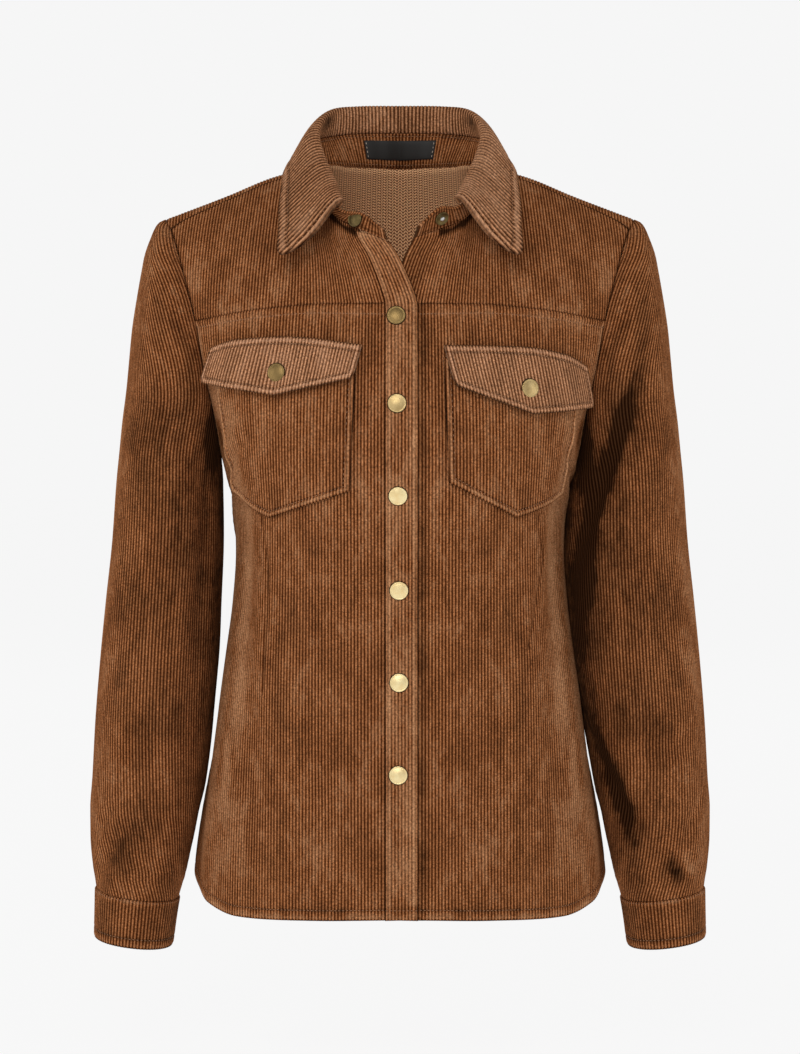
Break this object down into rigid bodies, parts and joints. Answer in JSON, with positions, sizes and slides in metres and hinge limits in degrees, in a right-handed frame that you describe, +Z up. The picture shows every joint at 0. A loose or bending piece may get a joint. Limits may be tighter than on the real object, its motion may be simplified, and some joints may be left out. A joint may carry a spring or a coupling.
{
  "type": "corduroy shirt jacket",
  "caption": "Corduroy shirt jacket in its worn, hollow shape: front and back body, flapped chest pockets, snap front, long cuffed sleeves and a spread collar.",
  "frame": {"origin": "middle of the neck, level with the neck points of the shoulder seams, where the wearer carries the jacket", "axes": "+X towards the wearer's left, the front faces -Y, +Z up the wearer's body"},
  "size_m": [0.5148, 0.2512, 0.6972],
  "materials": {
    "corduroy": "ribbed cotton corduroy, brown, matt",
    "corduroy_light": "the same corduroy with its nap brushed up, lighter",
    "brass": "satin brass, pressed",
    "dark_brass": "dark antique brass, pressed",
    "label": "woven satin label, charcoal, bare"
  },
  "bodies": {
    "root": {"front_right": "corduroy", "front_yoke_right": "corduroy", "placket_right": "corduroy", "pocket_right": "corduroy", "pocket_flap_right": "corduroy_light", "sleeve_right": "corduroy", "cuff_right": "corduroy", "flap_snap_right": "brass", "front_left": "corduroy", "front_yoke_left": "corduroy", "placket_left": "corduroy", "pocket_left": "corduroy", "pocket_flap_left": "corduroy_light", "sleeve_left": "corduroy", "cuff_left": "corduroy", "flap_snap_left": "brass", "back": "corduroy", "collar_stand": "corduroy", "collar_fall": "corduroy_light", "collar_snap": "dark_brass", "collar_stud": "dark_brass", "neck_label": "label", "snap_1": "brass", "snap_2": "brass", "snap_3": "brass", "snap_4": "brass", "snap_5": "brass", "snap_6": "brass"}
  },
  "joints": []
}
